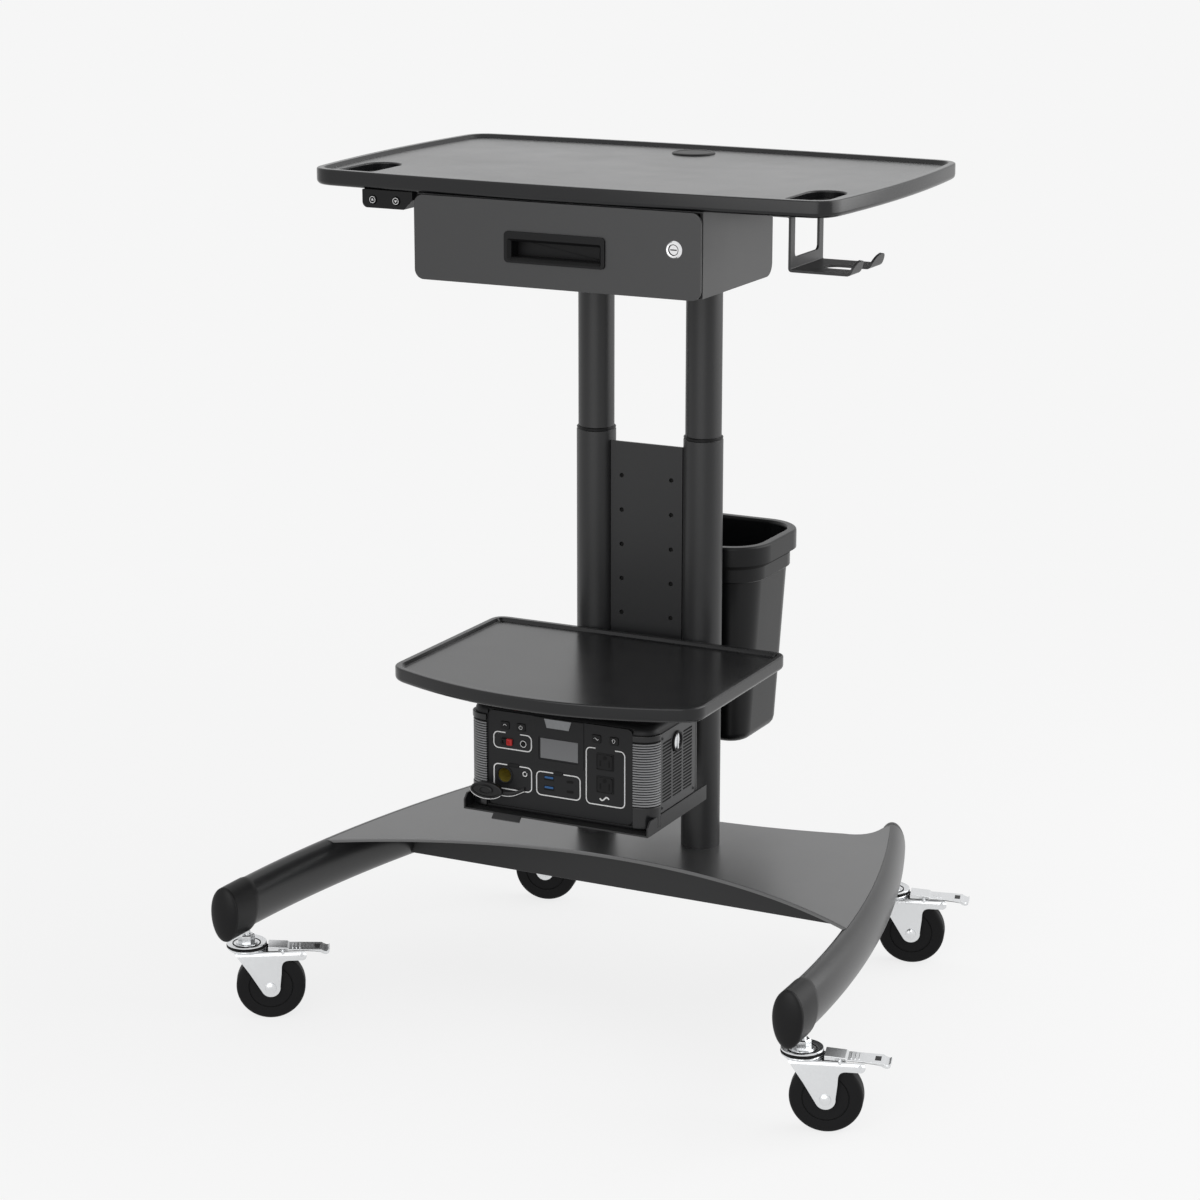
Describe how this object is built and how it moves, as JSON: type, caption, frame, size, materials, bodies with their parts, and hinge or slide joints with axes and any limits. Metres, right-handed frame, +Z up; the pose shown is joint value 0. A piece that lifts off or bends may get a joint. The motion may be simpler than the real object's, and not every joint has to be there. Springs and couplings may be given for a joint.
{
  "type": "mobile computer workstation",
  "caption": "Mobile sit-stand computer workstation: worktop on two lifting columns, drawer, lower shelf, power station on a tray, waste bin and a wide base on braked swivel casters.",
  "frame": {"origin": "middle of the footprint of the whole object, on the floor", "axes": "+Z up; +X to the right of a person at the worktop; +Y away from that person, towards the waste bin"},
  "size_m": [0.8846, 0.656, 1.0564],
  "materials": {
    "black_steel": "satin black powder coat on steel",
    "plate_grey": "fine-textured charcoal powder coat",
    "leg_paint": "smooth charcoal powder coat",
    "black_plastic": "black moulded plastic, lightly grained",
    "desk_board": "black moulded board with a raised rim, fine leather grain",
    "bin_plastic": "charcoal moulded plastic",
    "station_plastic": "charcoal textured plastic",
    "screen_glass": "grey display window, off",
    "cover_rubber": "soft black rubber",
    "zinc": "bright zinc-plated steel",
    "lock_chrome": "polished chrome",
    "wheel_rubber": "hard black rubber wheel"
  },
  "bodies": {
    "base": {"base_plate": "plate_grey", "cross_beam": "black_steel", "leg_left": "leg_paint", "leg_right": "leg_paint", "front_cap_left": "black_plastic", "front_cap_right": "black_plastic", "back_cap_left": "black_plastic", "back_cap_right": "black_plastic", "outer_column_left": "black_steel", "outer_column_right": "black_steel", "column_collar_left": "black_plastic", "column_collar_right": "black_plastic", "column_plate": "plate_grey", "lower_shelf": "desk_board", "shelf_bracket": "black_steel", "station_tray": "black_steel", "station_shell": "station_plastic", "station_face": "station_plastic", "station_screen": "screen_glass", "side_lamp": "black_plastic", "socket_cover": "cover_rubber", "waste_bin": "bin_plastic", "bin_hanger": "black_steel", "caster_stem_front_left": "zinc", "caster_stem_front_right": "zinc", "caster_stem_back_left": "zinc", "caster_stem_back_right": "zinc"},
    "lift": {"inner_column_left": "black_steel", "inner_column_right": "black_steel", "top_frame": "black_steel", "motor_housing": "black_plastic", "worktop": "desk_board", "grommet_cap": "black_plastic", "height_switch": "black_plastic", "accessory_hook": "black_steel", "drawer_case": "black_steel", "drawer_rail_left": "zinc", "drawer_rail_right": "zinc"},
    "drawer": {"drawer_box": "black_steel", "drawer_front": "black_steel", "drawer_pull": "black_plastic"},
    "lock": {"drawer_lock": "lock_chrome"},
    "raise_button": {"raise_button": "black_plastic"},
    "lower_button": {"lower_button": "black_plastic"},
    "start_key": {"start_key": "black_plastic"},
    "power_key": {"power_key": "black_plastic"},
    "output_key": {"output_key": "black_plastic"},
    "lamp_key": {"lamp_key": "black_plastic"},
    "caster_front_left": {"caster_fork_front_left": "zinc"},
    "wheel_front_left": {"caster_wheel_front_left": "wheel_rubber"},
    "brake_front_left": {"brake_lever_front_left": "zinc"},
    "caster_front_right": {"caster_fork_front_right": "zinc"},
    "wheel_front_right": {"caster_wheel_front_right": "wheel_rubber"},
    "brake_front_right": {"brake_lever_front_right": "zinc"},
    "caster_back_left": {"caster_fork_back_left": "zinc"},
    "wheel_back_left": {"caster_wheel_back_left": "wheel_rubber"},
    "brake_back_left": {"brake_lever_back_left": "zinc"},
    "caster_back_right": {"caster_fork_back_right": "zinc"},
    "wheel_back_right": {"caster_wheel_back_right": "wheel_rubber"},
    "brake_back_right": {"brake_lever_back_right": "zinc"}
  },
  "joints": [
    {"name": "lift", "type": "slide", "parent": "base", "child": "lift", "axis": [0, 0, 1], "range_m": [-0.28, 0.11]},
    {"name": "drawer_slide", "type": "slide", "parent": "lift", "child": "drawer", "axis": [0, -1, 0], "range_m": [0, 0.15]},
    {"name": "lock_turn", "type": "hinge", "parent": "drawer", "child": "lock", "pos_m": [0.11489, -0.15899, 0.992], "axis": [0, 1, 0], "range_deg": [0, 90]},
    {"name": "raise_press", "type": "slide", "parent": "lift", "child": "raise_button", "axis": [0, 1, 0], "range_m": [0, 0.001], "stiffness_N_per_m": 400},
    {"name": "lower_press", "type": "slide", "parent": "lift", "child": "lower_button", "axis": [0, 1, 0], "range_m": [0, 0.001], "stiffness_N_per_m": 400},
    {"name": "start_press", "type": "slide", "parent": "base", "child": "start_key", "axis": [0, 1, 0], "range_m": [0, 0.001], "stiffness_N_per_m": 400},
    {"name": "power_press", "type": "slide", "parent": "base", "child": "power_key", "axis": [0, 1, 0], "range_m": [0, 0.001], "stiffness_N_per_m": 400},
    {"name": "output_press", "type": "slide", "parent": "base", "child": "output_key", "axis": [0, 1, 0], "range_m": [0, 0.001], "stiffness_N_per_m": 400},
    {"name": "lamp_press", "type": "slide", "parent": "base", "child": "lamp_key", "axis": [0, 1, 0], "range_m": [0, 0.001], "stiffness_N_per_m": 400},
    {"name": "swivel_front_left", "type": "hinge", "parent": "base", "child": "caster_front_left", "pos_m": [-0.4173, -0.27499, 0.095], "axis": [0, 0, 1], "continuous": true},
    {"name": "roll_front_left", "type": "hinge", "parent": "caster_front_left", "child": "wheel_front_left", "pos_m": [-0.39227, -0.25995, 0.04325], "axis": [-0.515, 0.8572, 0], "continuous": true},
    {"name": "brake_front_left", "type": "hinge", "parent": "caster_front_left", "child": "brake_front_left", "pos_m": [-0.37856, -0.25171, 0.0896], "axis": [-0.515, 0.8572, 0], "range_deg": [0, 8]},
    {"name": "swivel_front_right", "type": "hinge", "parent": "base", "child": "caster_front_right", "pos_m": [0.33908, -0.27499, 0.095], "axis": [0, 0, 1], "continuous": true},
    {"name": "roll_front_right", "type": "hinge", "parent": "caster_front_right", "child": "wheel_front_right", "pos_m": [0.36701, -0.26645, 0.04325], "axis": [-0.2924, 0.9563, 0], "continuous": true},
    {"name": "brake_front_right", "type": "hinge", "parent": "caster_front_right", "child": "brake_front_right", "pos_m": [0.38231, -0.26177, 0.0896], "axis": [-0.2924, 0.9563, 0], "range_deg": [0, 8]},
    {"name": "swivel_back_left", "type": "hinge", "parent": "base", "child": "caster_back_left", "pos_m": [-0.3092, 0.27201, 0.095], "axis": [0, 0, 1], "continuous": true},
    {"name": "roll_back_left", "type": "hinge", "parent": "caster_back_left", "child": "wheel_back_left", "pos_m": [-0.28087, 0.27907, 0.04325], "axis": [-0.2419, 0.9703, 0], "continuous": true},
    {"name": "brake_back_left", "type": "hinge", "parent": "caster_back_left", "child": "brake_back_left", "pos_m": [-0.26534, 0.28294, 0.0896], "axis": [-0.2419, 0.9703, 0], "range_deg": [0, 8]},
    {"name": "swivel_back_right", "type": "hinge", "parent": "base", "child": "caster_back_right", "pos_m": [0.23098, 0.27201, 0.095], "axis": [0, 0, 1], "continuous": true},
    {"name": "roll_back_right", "type": "hinge", "parent": "caster_back_right", "child": "wheel_back_right", "pos_m": [0.25891, 0.28055, 0.04325], "axis": [-0.2924, 0.9563, 0], "continuous": true},
    {"name": "brake_back_right", "type": "hinge", "parent": "caster_back_right", "child": "brake_back_right", "pos_m": [0.27421, 0.28523, 0.0896], "axis": [-0.2924, 0.9563, 0], "range_deg": [0, 8]}
  ]
}
